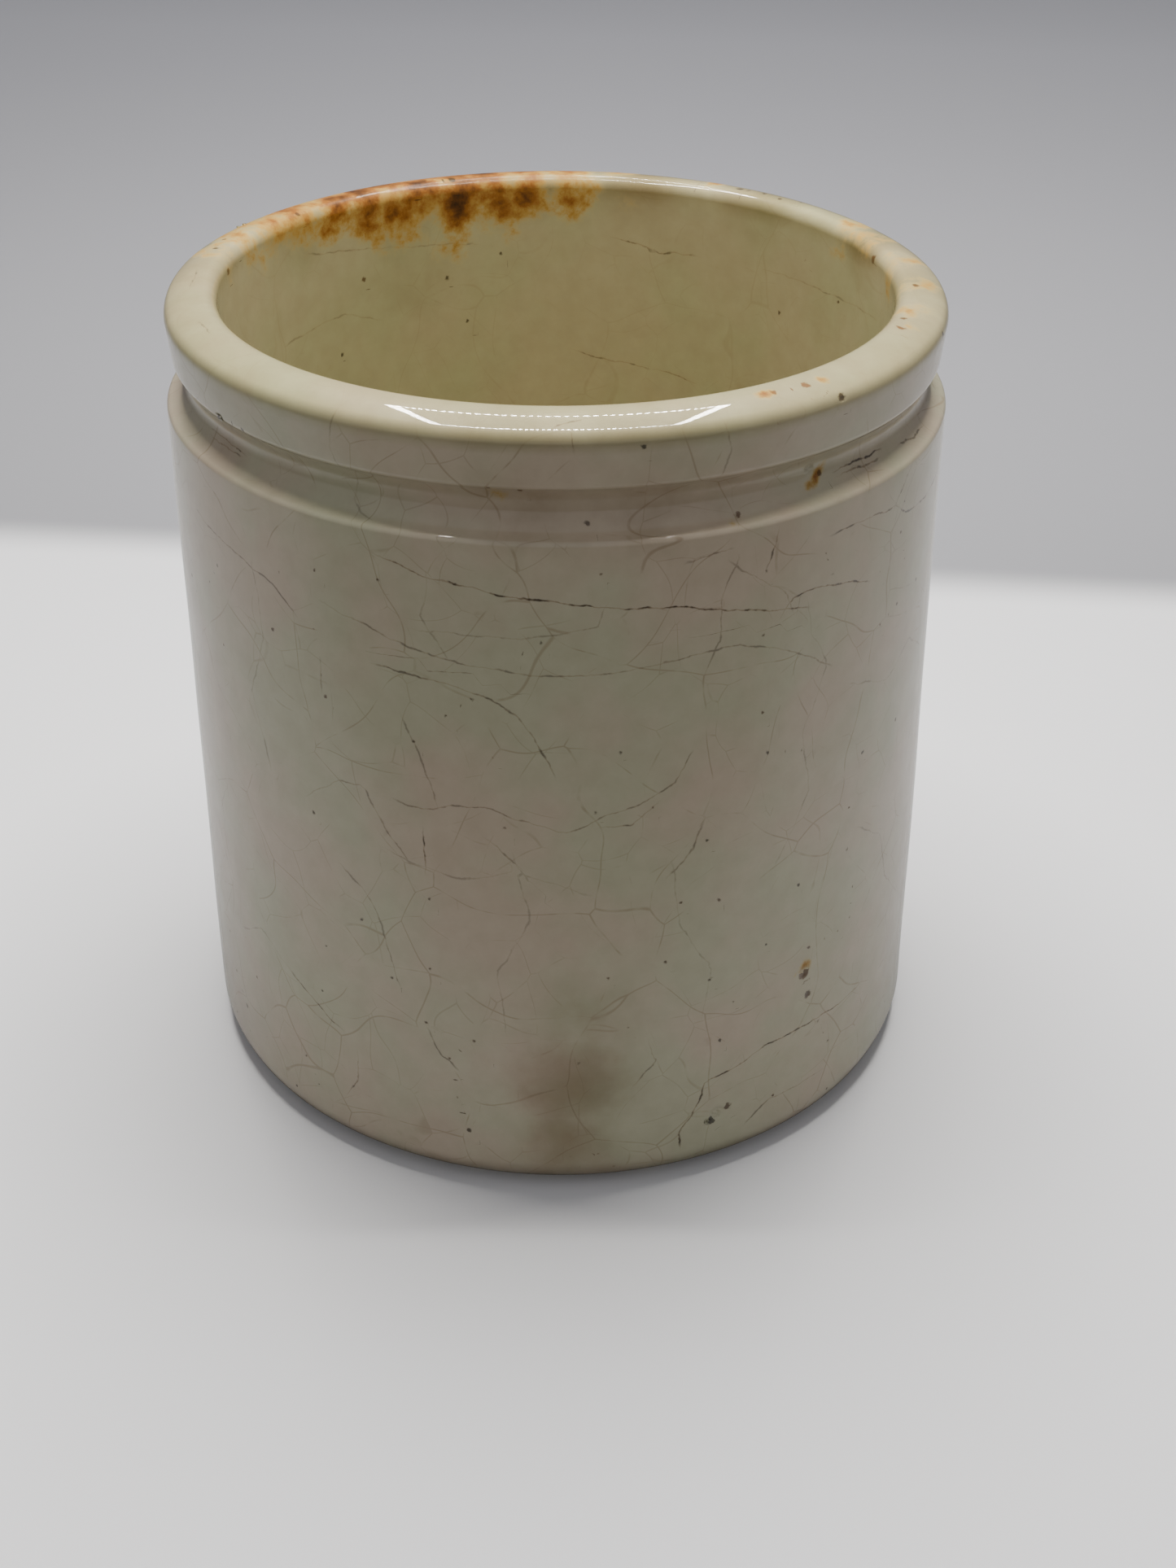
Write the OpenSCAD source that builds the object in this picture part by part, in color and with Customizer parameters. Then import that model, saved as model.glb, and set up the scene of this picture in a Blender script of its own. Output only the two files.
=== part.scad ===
// Glazed ironstone preserve crock: a straight-sided open jar with a thick rolled rim,
// and a groove under the rim where a cover is tied down.
// Two materials are fired into one pot: the clay body, and the glass coat of the glaze.
// The axis is +Z, and the origin is at the middle of the foot, on the table.

/* [Body] */
// Height from the table to the crest of the rim
crock_h = 104.4; // [95:0.1:130]
// Outside diameter of the wall just above the base corner
wall_base_d = 97.8; // [94:0.1:120]
// Outside diameter of the wall just below the groove
wall_top_d = 96.6; // [94:0.1:120]
// Radius of the corner between the wall and the foot
corner_r = 5; // [3:0.5:8]

/* [Mouth] */
// Diameter of the mouth and of the straight inside wall
mouth_d = 82.6; // [60:0.1:84]
// Height of the inside floor above the table
floor_z = 6.5; // [5:0.1:12]
// Radius of the fillet between the inside wall and the inside floor
floor_fillet_r = 8; // [3:0.5:20]

/* [Rim] */
// Distance by which the rim's widest place stands inside the top of the wall
rim_set = 0.6; // [-2:0.1:1.5]
// Distance by which the lip, at the lower edge of the rim, stands inside the top of the wall
lip_set = 1.1; // [0.6:0.1:2.2]
// Height of the rim from the top of the groove to the crest
rim_h = 7.4; // [6.5:0.1:12]
// Depth of the rim's widest place under its crest
rim_fall = 2.6; // [2.2:0.1:4.5]
// Rounding between the rim's broad top and its outer side
rim_edge_r = 1.8; // [0.6:0.1:2.1]
// Rounding between the rim's broad top and the mouth
mouth_edge_r = 1.7; // [0.6:0.1:2.5]
// Rounding of the lip at the lower edge of the rim
lip_r = 1; // [0.6:0.1:1.4]

/* [Tie groove] */
// Depth of the groove, inwards from the top of the wall
groove_depth = 2.9; // [1.5:0.1:3.4]
// Radius of the groove's round section
groove_r = 3; // [2:0.1:4]
// Rounding of the shoulder at the top of the wall
shoulder_r = 0.7; // [0.6:0.1:2]

/* [Foot] */
// Inner diameter of the foot ring that the crock stands on
foot_ring_d = 74; // [40:1:80]
// Depth of the hollow inside the foot ring
foot_hollow = 1.5; // [0.5:0.1:3]

/* [Glaze] */
// Thickness of the glaze
glaze_t = 0.5; // [0.2:0.05:0.55]
// Height above the table at which the glaze stops on the base corner
glaze_edge_z = 0.7; // [0.3:0.1:2]

/* [Hidden] */

// Facets of a full turn, and steps along each round stretch of the outline
turn_facets = 180;
arc_steps = 8;

// Centres of the round stretches, as [radius, height]
corner_c = [wall_base_d / 2 - corner_r, corner_r];
wall_x = wall_top_d / 2;
groove_c = [wall_x - groove_depth + groove_r, crock_h - rim_h - groove_r];
shoulder_x = wall_x - shoulder_r;
shoulder_rise = rise(groove_r + shoulder_r, groove_c[0] - shoulder_x);
shoulder_c = [shoulder_x, groove_c[1] - shoulder_rise];
lip_x = wall_x - lip_set - lip_r;
lip_rise = rise(groove_r + lip_r, groove_c[0] - lip_x);
lip_c = [lip_x, groove_c[1] + lip_rise];
rim_edge_c = [wall_x - rim_set - rim_edge_r, crock_h - rim_fall];
mouth_edge_c = [mouth_d / 2 + mouth_edge_r, crock_h - mouth_edge_r];
fillet_c = [mouth_d / 2 - floor_fillet_r, floor_z + floor_fillet_r];

// The rim's broad top is one arc: level at the mouth's edge, and tangent to the outer edge's rounding
top_w = rim_edge_c[0] - mouth_edge_c[0];
top_r = (sq(top_w) + sq(rim_fall) - sq(rim_edge_r)) / (2 * (rim_fall - rim_edge_r));
top_c = [mouth_edge_c[0], crock_h - top_r];

// Angles at which neighbouring round stretches meet, seen from their own centres
glaze_edge_a = -asin((corner_r - glaze_edge_z) / corner_r);
shoulder_a = bearing(shoulder_c, groove_c);
lip_a = bearing(lip_c, groove_c);
side = norm(rim_edge_c - lip_c);
side_a = bearing(lip_c, rim_edge_c) - acos((lip_r - rim_edge_r) / side);
top_a = bearing(top_c, rim_edge_c);

function sq(x) = x * x;

// Height of a right triangle from its long side and its base
function rise(long_side, base) = sqrt(sq(long_side) - sq(base));

// Direction from one point to another, in degrees
function bearing(from, to) = atan2(to[1] - from[1], to[0] - from[0]);

// Points of an arc about a centre, from one angle to the other
function arc(centre, r, from, to) =
  [for (i = [0 : arc_steps])
    let (a = from + (to - from) * i / arc_steps)
    centre + r * [cos(a), sin(a)]];

function reversed(points) = [for (i = [len(points) - 1 : -1 : 0]) points[i]];

// The glazed face from the foot, up the wall and over the rim to the middle of the inside floor.
// It lies a given depth under the surface of the glaze.
function glazed_face(depth) = concat(
  arc(corner_c, corner_r - depth, glaze_edge_a, 0),
  arc(shoulder_c, shoulder_r - depth, 0, shoulder_a),
  arc(groove_c, groove_r + depth, shoulder_a + 180, lip_a + 180),
  arc(lip_c, lip_r - depth, lip_a, side_a),
  arc(rim_edge_c, rim_edge_r - depth, side_a, top_a),
  arc(top_c, top_r - depth, top_a, 90),
  arc(mouth_edge_c, mouth_edge_r - depth, 90, 180),
  arc(fillet_c, floor_fillet_r + depth, 0, -90),
  [[0, floor_z - depth]]
);

// The bare underside from its middle, down a slope as wide as it is high to the foot ring,
// and round the base corner to the glaze's edge
function bare_foot() = concat(
  [[0, foot_hollow],
   [foot_ring_d / 2 - foot_hollow, foot_hollow],
   [foot_ring_d / 2, 0]],
  arc(corner_c, corner_r, -90, glaze_edge_a)
);

// Fired clay: the whole pot under its glaze, bare on the foot
module clay_body() {
  color("#c9bfa4")
    rotate_extrude($fn = turn_facets)
      polygon(concat(glazed_face(glaze_t), bare_foot()));
}

// Glaze: one glass coat outside, over the rim and inside
module glaze_coat() {
  color("#d9d5c1")
    rotate_extrude($fn = turn_facets)
      polygon(concat(glazed_face(0), reversed(glazed_face(glaze_t))));
}

clay_body();
glaze_coat();
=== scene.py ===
import math

import bpy
import numpy as np
from mathutils import Matrix, Vector


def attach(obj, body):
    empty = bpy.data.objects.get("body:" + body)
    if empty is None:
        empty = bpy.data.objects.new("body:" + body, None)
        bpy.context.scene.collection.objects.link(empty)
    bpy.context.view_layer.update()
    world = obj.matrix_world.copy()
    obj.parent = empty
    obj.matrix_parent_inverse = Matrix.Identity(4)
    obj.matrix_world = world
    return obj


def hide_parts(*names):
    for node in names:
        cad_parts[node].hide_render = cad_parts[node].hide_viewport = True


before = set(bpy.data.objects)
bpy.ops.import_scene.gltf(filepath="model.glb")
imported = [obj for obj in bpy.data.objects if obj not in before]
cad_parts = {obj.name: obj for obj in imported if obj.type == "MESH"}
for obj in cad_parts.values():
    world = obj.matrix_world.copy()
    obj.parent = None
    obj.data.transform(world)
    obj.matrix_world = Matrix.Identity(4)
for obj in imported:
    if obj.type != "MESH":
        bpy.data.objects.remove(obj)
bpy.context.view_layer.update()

# ---------------------------------------------------------------- clay body
# The pot itself: fine white stoneware, shaped on a jolley in a plaster mould, then turned.
# It is bare only on the foot, where it stood on the kiln shelf, so it rubs and takes dirt there.

MM = 0.001

# Sizes in millimetres. The wall, rim and mouth stand 0.1 mm nearer the axis than the CAD part's, and the
# base 0.2 mm, so that the pot stays inside its box when the wall wanders.
POT_H = 104.4
WALL_BASE_R, WALL_TOP_R = 48.7, 48.2
CORNER_R = 5.0
MOUTH_R = 41.2
FLOOR_Z, FLOOR_FILLET_R = 6.5, 8.0
RIM_SET, LIP_SET = 0.6, 1.1
RIM_H, RIM_FALL = 7.4, 2.6
RIM_EDGE_R, MOUTH_EDGE_R, LIP_R = 1.8, 1.7, 1.0
GROOVE_DEPTH, GROOVE_R = 2.9, 3.0
SHOULDER_R = 0.7
FOOT_RING_R, FOOT_HOLLOW = 37.0, 1.5
GLAZE_T, GLAZE_EDGE_Z = 0.5, 0.7


def arc(centre, radius, start, end, steps):
    """Points of a round stretch of the outline, as radius and height in millimetres."""
    turns = [math.radians(start + (end - start) * i / steps) for i in range(steps + 1)]
    return [(centre[0] + radius * math.cos(t), centre[1] + radius * math.sin(t)) for t in turns]


def straight(start, end, steps):
    """Points between two ends of a straight stretch, without the ends themselves."""
    return [
        (start[0] + (end[0] - start[0]) * i / steps, start[1] + (end[1] - start[1]) * i / steps)
        for i in range(1, steps)
    ]


def bearing(here, there):
    """Direction from one point of the outline to another, in degrees."""
    return math.degrees(math.atan2(there[1] - here[1], there[0] - here[0]))


def rise(long_side, base):
    """Height of a right triangle from its long side and its base."""
    return math.sqrt(long_side**2 - base**2)


# Centres of the round stretches of the outline, each of which touches its neighbours
corner_c = (WALL_BASE_R - CORNER_R, CORNER_R)
groove_c = (WALL_TOP_R - GROOVE_DEPTH + GROOVE_R, POT_H - RIM_H - GROOVE_R)
shoulder_x, lip_x = WALL_TOP_R - SHOULDER_R, WALL_TOP_R - LIP_SET - LIP_R
shoulder_c = (shoulder_x, groove_c[1] - rise(GROOVE_R + SHOULDER_R, groove_c[0] - shoulder_x))
lip_c = (lip_x, groove_c[1] + rise(GROOVE_R + LIP_R, groove_c[0] - lip_x))
rim_edge_c = (WALL_TOP_R - RIM_SET - RIM_EDGE_R, POT_H - RIM_FALL)
mouth_edge_c = (MOUTH_R + MOUTH_EDGE_R, POT_H - MOUTH_EDGE_R)
fillet_c = (MOUTH_R - FLOOR_FILLET_R, FLOOR_Z + FLOOR_FILLET_R)
top_w = rim_edge_c[0] - mouth_edge_c[0]
top_r = (top_w**2 + RIM_FALL**2 - RIM_EDGE_R**2) / (2 * (RIM_FALL - RIM_EDGE_R))
top_c = (mouth_edge_c[0], POT_H - top_r)

# Angles at which they meet
glaze_edge_a = -math.degrees(math.asin((CORNER_R - GLAZE_EDGE_Z) / CORNER_R))
shoulder_a = bearing(shoulder_c, groove_c)
lip_a = bearing(lip_c, groove_c)
side_turn = math.degrees(math.acos((LIP_R - RIM_EDGE_R) / math.dist(lip_c, rim_edge_c)))
side_a = bearing(lip_c, rim_edge_c) - side_turn
top_a = bearing(top_c, rim_edge_c)


def glazed_face(depth, fine):
    """The face from the glaze's edge on the base corner to the middle of the inside floor."""
    corner = arc(corner_c, CORNER_R - depth, glaze_edge_a, 0, 3 + 7 * fine)
    shoulder = arc(shoulder_c, SHOULDER_R - depth, 0, shoulder_a, 3 + 4 * fine)
    groove = arc(groove_c, GROOVE_R + depth, shoulder_a + 180, lip_a + 180, 7 + 9 * fine)
    lip = arc(lip_c, LIP_R - depth, lip_a, side_a, 3 + 3 * fine)
    rim_edge = arc(rim_edge_c, RIM_EDGE_R - depth, side_a, top_a, 4 + 6 * fine)
    rim_top = arc(top_c, top_r - depth, top_a, 90, 4 + 6 * fine)[1:]
    mouth_edge = arc(mouth_edge_c, MOUTH_EDGE_R - depth, 90, 180, 5 + 7 * fine)[1:]
    fillet = arc(fillet_c, FLOOR_FILLET_R + depth, 0, -90, 5 + 7 * fine)
    return (
        corner
        + straight(corner[-1], shoulder[0], 14 + 70 * fine)
        + shoulder
        + groove
        + lip
        + straight(lip[-1], rim_edge[0], 2 + 3 * fine)
        + rim_edge
        + rim_top
        + mouth_edge
        + straight(mouth_edge[-1], fillet[0], 14 + 34 * fine)
        + fillet
        + straight(fillet[-1], (0.0, FLOOR_Z - depth), 6 + 10 * fine)
        + [(0.0, FLOOR_Z - depth)]
    )


def turn_pot(name, outline, closed, turns):
    """Draws an outline point by point, spins it about the pot's axis and closes it."""
    bpy.ops.object.select_all(action="DESELECT")
    bpy.ops.mesh.primitive_plane_add(size=MM, location=(0, 0, 0))
    pot = bpy.context.object
    pot.name = name
    bpy.ops.object.mode_set(mode="EDIT")
    bpy.ops.mesh.select_all(action="SELECT")
    bpy.ops.mesh.merge(type="CENTER")
    radius, height = outline[0]
    bpy.ops.transform.translate(value=(radius * MM, 0, height * MM))
    for point in outline[1:] + ([outline[0]] if closed else []):
        step = ((point[0] - radius) * MM, 0, (point[1] - height) * MM)
        bpy.ops.mesh.extrude_region_move(TRANSFORM_OT_translate={"value": step})
        radius, height = point
    bpy.ops.mesh.select_all(action="SELECT")
    bpy.ops.mesh.spin(steps=turns, angle=2 * math.pi, center=(0, 0, 0), axis=(0, 0, 1))
    bpy.ops.mesh.select_all(action="SELECT")
    bpy.ops.mesh.remove_doubles(threshold=0.01 * MM)
    bpy.ops.mesh.normals_make_consistent(inside=False)
    bpy.ops.object.mode_set(mode="OBJECT")
    bpy.ops.object.shade_smooth()
    return pot


WANDER, LEAN = 0.35 * MM, 0.6
POT_W = 98.0


def settle_pot(pot):
    """The small faults of a hand-finished pot: a wandering wall, a slight lean and a rim low at the front."""
    for axis, wave in (("X", 34 * MM), ("Y", 35.6 * MM)):
        wander = bpy.data.textures.new(f"wander_{axis}", "CLOUDS")
        wander.noise_scale = wave
        wander.noise_depth = 1
        bend = pot.modifiers.new(f"wander_{axis}", "DISPLACE")
        bend.texture = wander
        bend.texture_coords = "LOCAL"
        bend.direction = axis
        bend.mid_level = 0.5
        bend.strength = WANDER
        bpy.context.view_layer.objects.active = pot
        bpy.ops.object.modifier_apply(modifier=bend.name)
    bpy.ops.object.add(type="LATTICE", location=(0, 0, POT_H / 2 * MM))
    cage = bpy.context.object
    cage.scale = (POT_W * MM, POT_W * MM, POT_H * MM)
    for direction in ("u", "v", "w"):
        setattr(cage.data, f"interpolation_type_{direction}", "KEY_LINEAR")
    for corner in cage.data.points:
        if corner.co_deform.z > 0:
            corner.co_deform.x -= LEAN / POT_W
            if corner.co_deform.y < 0:
                corner.co_deform.z -= LEAN / POT_H
    lean = pot.modifiers.new("lean", "LATTICE")
    lean.object = cage
    bpy.context.view_layer.update()
    bpy.context.view_layer.objects.active = pot
    bpy.ops.object.modifier_apply(modifier=lean.name)
    bpy.data.objects.remove(cage, do_unlink=True)


clay_outline = (
    [(0.0, FOOT_HOLLOW)]
    + straight((0.0, FOOT_HOLLOW), (FOOT_RING_R - FOOT_HOLLOW, FOOT_HOLLOW), 16)
    + [(FOOT_RING_R - FOOT_HOLLOW, FOOT_HOLLOW), (FOOT_RING_R - 0.5, 0.35), (FOOT_RING_R, 0.1)]
    + [(FOOT_RING_R + 0.6, 0.0)]
    + straight((FOOT_RING_R + 0.6, 0.0), (corner_c[0], 0.0), 5)
    + arc(corner_c, CORNER_R, -90, glaze_edge_a, 5)
    + glazed_face(GLAZE_T, 0)
)
clay = turn_pot("clay_pot", clay_outline, False, 200)
settle_pot(clay)


def linear(hex_colour, alpha=1.0):
    """An sRGB hex colour as the linear values that a shader takes."""
    parts = [int(hex_colour[i : i + 2], 16) / 255 for i in (1, 3, 5)]
    return (*(p / 12.92 if p <= 0.04045 else ((p + 0.055) / 1.055) ** 2.4 for p in parts), alpha)


def add(tree, kind, settings=None, inputs=None):
    """Adds a node with its settings, and sets or links its inputs."""
    node = tree.nodes.new(kind)
    for key, value in (settings or {}).items():
        setattr(node, key, value)
    for key, value in (inputs or {}).items():
        if isinstance(value, bpy.types.NodeSocket):
            tree.links.new(value, node.inputs[key])
        else:
            node.inputs[key].default_value = value
    return node


# Unglazed ironstone biscuit, sponged smooth before firing: a dry, chalky, pale buff face with
# fine dark grit, and grey-brown dirt rubbed into the foot ring where it slides on shelves.
biscuit = bpy.data.materials.new("unglazed_ironstone_biscuit")
biscuit.use_nodes = True
tree = biscuit.node_tree
tree.nodes.clear()
place = add(tree, "ShaderNodeTexCoord").outputs["Object"]
grit = add(tree, "ShaderNodeTexNoise", inputs={"Vector": place, "Scale": 1 / (0.5 * MM), "Detail": 4.0})
grime = add(
    tree,
    "ShaderNodeTexNoise",
    inputs={"Vector": place, "Scale": 1 / (9 * MM), "Detail": 6.0, "Roughness": 0.65},
)
paste = add(tree, "ShaderNodeValToRGB", inputs={"Fac": grime.outputs["Fac"]})
paste.color_ramp.elements[0].position = 0.35
paste.color_ramp.elements[0].color = linear("#8d8069")
paste.color_ramp.elements[1].position = 0.62
paste.color_ramp.elements[1].color = linear("#cfc4a9")
fleck = add(
    tree,
    "ShaderNodeMapRange",
    inputs={"Value": grit.outputs["Fac"], "From Min": 0.66, "From Max": 0.74},
)
paste_flecked = add(
    tree,
    "ShaderNodeMix",
    {"data_type": "RGBA"},
    {0: fleck.outputs[0], 6: paste.outputs["Color"], 7: linear("#5b4a38")},
)
tooth = add(
    tree,
    "ShaderNodeBump",
    inputs={"Height": grit.outputs["Fac"], "Strength": 0.5, "Distance": 0.05 * MM},
)
clay_shader = add(
    tree,
    "ShaderNodeBsdfPrincipled",
    inputs={"Base Color": paste_flecked.outputs[2], "Roughness": 0.85, "Normal": tooth.outputs["Normal"]},
)
add(tree, "ShaderNodeOutputMaterial", inputs={"Surface": clay_shader.outputs[0]})
clay.data.materials.append(biscuit)
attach(clay, "root")
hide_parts("clay_body")

# ---------------------------------------------------------------- glaze coat
# A clear lead glaze, about half a millimetre thick, dipped on and fused over the wall, rim and inside.
# It has crazed with age, and tea-brown dirt and rust have crept into the cracks and under the rim; the groove
# under the rim also carries painted shade.

TURNS = 288
glaze_outline = glazed_face(0.0, 1) + list(reversed(glazed_face(GLAZE_T, 0)))
glaze = turn_pot("glaze_coat_fired", glaze_outline, True, TURNS)


def spot_on_pot(angle, height, radius=48.6):
    """A place on the pot. The angle is from the front, in degrees to the right; the rest is in millimetres."""
    turn = math.radians(angle)
    return np.array((radius * math.sin(turn), -radius * math.cos(turn), height)) * MM


# Pits where the glaze crawled off a fleck of grit, and two small chips knocked out by use:
# angle, height, radius of the place on the pot, then the hollow's own radius and depth.
HOLLOWS = (
    (24.0, 9.3, 48.7, 1.2, 0.30),
    (22.6, 8.2, 48.7, 0.7, 0.22),
    (39.0, 26.6, 48.6, 0.9, 0.26),
    (40.2, 22.6, 48.6, 0.6, 0.20),
    (22.0, 21.4, 48.6, 0.6, 0.18),
    (41.0, 102.4, 46.9, 0.7, 0.22),
    (-54.0, 97.0, 46.9, 0.8, 0.20),
    (38.0, 94.2, 45.4, 0.7, 0.20),
    (152.0, 98.0, 46.9, 1.1, 0.30),
    (-118.0, 103.2, 46.4, 1.0, 0.26),
    (-172.0, 3.4, 48.2, 1.3, 0.35),
    (118.0, 41.0, 48.4, 0.7, 0.22),
    (-141.0, 63.0, 48.4, 0.6, 0.18),
)
HOLLOW_MARGIN = 1.3
bpy.context.view_layer.objects.active = glaze
for angle, height, radius, reach, depth in HOLLOWS:
    centre = Vector(spot_on_pot(angle, height, radius))
    outward = Vector((centre.x, centre.y, 0)).normalized()
    bpy.ops.object.mode_set(mode="EDIT")
    bpy.ops.mesh.select_mode(type="FACE")
    bpy.ops.mesh.select_all(action="DESELECT")
    bpy.ops.object.mode_set(mode="OBJECT")
    for face in glaze.data.polygons:
        if (face.center - centre).length < (reach + HOLLOW_MARGIN) * MM and face.normal.dot(outward) > -0.2:
            face.select = True
    bpy.ops.object.mode_set(mode="EDIT")
    bpy.ops.mesh.subdivide(number_cuts=3)
    bpy.ops.object.mode_set(mode="OBJECT")
    for vertex in glaze.data.vertices:
        gap = (vertex.co - centre).length / (reach * MM)
        if vertex.select and gap < 1:
            around = math.atan2(vertex.co.z - centre.z, vertex.co.x - centre.x)
            ragged = 0.75 + 0.5 * math.sin(9 * gap + 3 * around)
            vertex.co -= vertex.normal * depth * MM * min(1.0, 2.2 * (1 - gap)) * ragged

vertex_count = len(glaze.data.vertices)
places = np.empty(vertex_count * 3, dtype=np.float32)
glaze.data.vertices.foreach_get("co", places)
places = places.reshape(-1, 3).astype(float)
facing = np.empty(vertex_count * 3, dtype=np.float32)
glaze.data.vertices.foreach_get("normal", facing)
facing = facing.reshape(-1, 3).astype(float)


def keep_marks(name, values):
    """Stores four numbers a vertex as a named colour layer of the glaze."""
    layer = glaze.data.color_attributes.new(name, "FLOAT_COLOR", "POINT")
    layer.data.foreach_set("color", values.astype(np.float32).ravel())


CRACK_REACH, TIP_FADE = 2.6, 1.2


def mark_cracks(name, cracks):
    """Keeps each vertex's signed distance to its nearest crack in millimetres, and how dark that crack is."""
    nearest = np.full(vertex_count, 9.0)
    values = np.zeros((vertex_count, 4))
    values[:, 0] = 3.0
    for darkness, radius, route in cracks:
        points = [spot_on_pot(angle, height, radius) for angle, height in route]
        for index, (start, end) in enumerate(zip(points, points[1:])):
            run = end - start
            length = np.linalg.norm(run)
            along = (places - start) @ run / length**2
            held = np.clip(along, 0, 1)
            offset = places - start - held[:, None] * run
            side = np.cross(run / length, facing)
            side /= np.linalg.norm(side, axis=1)[:, None] + 1e-9
            signed = np.einsum("ij,ij->i", offset, side) / MM
            away = np.linalg.norm(offset, axis=1) / MM
            past = np.abs(along - held) * length / MM
            is_tip = ((index == 0) & (along < 0)) | ((index == len(points) - 2) & (along > 1))
            fade = np.where(is_tip, np.clip(1 - past / TIP_FADE, 0, 1), 1.0)
            closer = away < nearest
            nearest[closer] = away[closer]
            values[closer, 0] = signed[closer]
            values[closer, 1] = (darkness * fade)[closer]
    values[nearest > CRACK_REACH, 1] = 0
    keep_marks(name, values)


# Cracks of the crazing that have taken in the most dirt: darkness, radius of the wall there, then the
# route as angle and height. Neighbouring cracks are in different layers, so that they can branch.
mark_cracks(
    "cracks_long",
    (
        (0.95, 48.3, (
            (-23, 87.5), (-17, 86), (-12, 85.5), (-6, 84.5), (0, 84), (8, 83), (16, 82.5), (24, 81),
            (35, 79),
        )),
        (0.55, 48.4, (
            (-32, 80), (-27, 79), (-22, 77.5), (-13, 76), (-4, 75), (4, 75), (12, 75.5), (20, 76.5),
            (25, 76.5), (32, 74.5), (40, 70.5),
        )),
        (0.7, 48.4, ((-24, 74), (-18, 73.5), (-14, 73), (-9, 72), (-6, 70), (-3, 67), (-1, 63))),
        (0.6, 48.5, (
            (-22, 56.5), (-18, 56), (-16, 57), (-10, 57.5), (-5, 56), (0, 54.5), (2, 54.5), (6, 56.5),
            (12, 58), (16, 60), (18, 63),
        )),
        (0.55, 48.6, ((-38, 53.5), (-32, 57), (-28, 57.5), (-27, 55), (-24, 51), (-22, 49))),
        (0.95, 48.8, (
            (18, 6), (18, 8), (20, 10), (22, 15), (24, 15.5), (28, 16), (32, 17.5), (38, 18),
            (46, 17.5), (53, 18),
        )),
        (0.8, 48.3, ((73, 84.5), (67, 84), (62, 84), (58, 84.5), (54, 86.5), (48, 87), (41, 87))),
        (0.65, 48.4, ((-61, 83), (-54, 82), (-48, 81.5), (-42, 80), (-39, 78))),
        (0.8, 48.8, ((-44, 24), (-40, 22), (-36, 20))),
        (0.5, 48.7, ((-32, 44.5), (-29, 42.5), (-27, 40), (-26, 36), (-24, 30.5))),
        (0.6, 48.4, ((96, 88), (104, 80), (112, 76), (124, 75), (139, 71), (150, 66))),
        (0.6, 48.6, ((171, 88), (165, 70), (168, 55), (160, 42), (163, 28), (158, 12))),
        (0.5, 48.4, ((-84, 60), (-96, 64), (-110, 61), (-127, 66), (-146, 62), (-160, 65))),
        (0.6, 48.6, ((-100, 12), (-108, 20), (-121, 24), (-133, 33), (-140, 36))),
        (0.55, 48.5, ((80, 45), (92, 41), (103, 43), (117, 38), (128, 40))),
        (0.4, 41.2, ((-128, 98.5), (-147, 96.5), (-163, 95.5))),
        (0.4, 41.2, ((136, 95), (120, 95), (101, 96))),
        (0.6, 41.2, ((175, 79), (169, 78), (163, 77.5))),
        (0.75, 41.2, ((168, 95.9), (165, 95.5), (162.5, 95.2))),
        (0.65, 41.2, ((160, 94.4), (157.5, 94.8), (154, 94.9))),
        (0.75, 41.2, ((159, 77.4), (156, 77), (153.5, 76.6))),
        (0.35, 41.2, ((-120, 88), (-135, 89), (-142, 87))),
    ),
)
mark_cracks(
    "cracks_branching",
    (
        (0.4, 48.4, ((-18, 79.5), (-8, 79.5), (0, 80), (5, 81), (6, 83))),
        (0.45, 48.4, ((24, 86.5), (22, 83), (22, 78), (20, 73.5))),
        (0.85, 48.4, ((32, 79.5), (33, 80.5), (37, 81), (44, 80), (47, 79))),
        (0.8, 48.3, ((58, 90), (56, 88.5), (54, 86.5))),
        (0.75, 48.3, ((30, 89), (29, 86))),
        (0.6, 48.3, ((18, 88), (22, 88.5))),
        (0.5, 48.5, ((-21, 67), (-19, 63), (-18, 60), (-17, 57.5))),
        (0.9, 48.6, ((-19, 52), (-19, 48))),
        (0.55, 48.6, ((-9, 52.5), (-6, 50))),
        (0.6, 48.6, ((20, 53), (19, 50.5), (16, 48))),
        (0.7, 48.5, ((7, 55), (10, 55), (13, 57))),
        (0.6, 48.8, ((30, 6.5), (33, 8.5), (38, 8.5), (43, 8.5))),
        (0.7, 48.8, ((-32, 15.5), (-32, 12.5), (-34, 9.5))),
        (0.6, 48.8, ((-19, 23), (-18, 20.5), (-16, 19))),
        (0.55, 48.8, ((13, 22.5), (14, 20), (11, 17))),
        (0.75, 48.4, ((-34, 71.5), (-34, 69.5))),
        (0.6, 48.4, ((104, 80), (101, 68), (106, 58), (103, 43))),
        (0.5, 48.5, ((-127, 66), (-131, 78), (-126, 89))),
        (0.5, 48.5, ((-133, 33), (-130, 46), (-136, 55), (-135, 63))),
        (0.5, 48.5, ((165, 70), (176, 66), (-172, 69), (-163, 65))),
        (0.85, 46.0, ((-60, 92.5), (-56, 92.5), (-53, 92.5))),
        (0.85, 46.0, ((45, 92.5), (48, 92.5), (52, 92))),
        (0.7, 46.4, ((60, 92), (64, 91.5), (68, 91.5))),
        (0.6, 44.5, ((-67, 104), (-64, 104.4))),
        (0.7, 44.0, ((-90, 104), (-87, 104.4), (-86, 104))),
        (0.8, 45.6, ((3, 103.9), (2, 103.3), (2, 102.6))),
    ),
)
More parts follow.
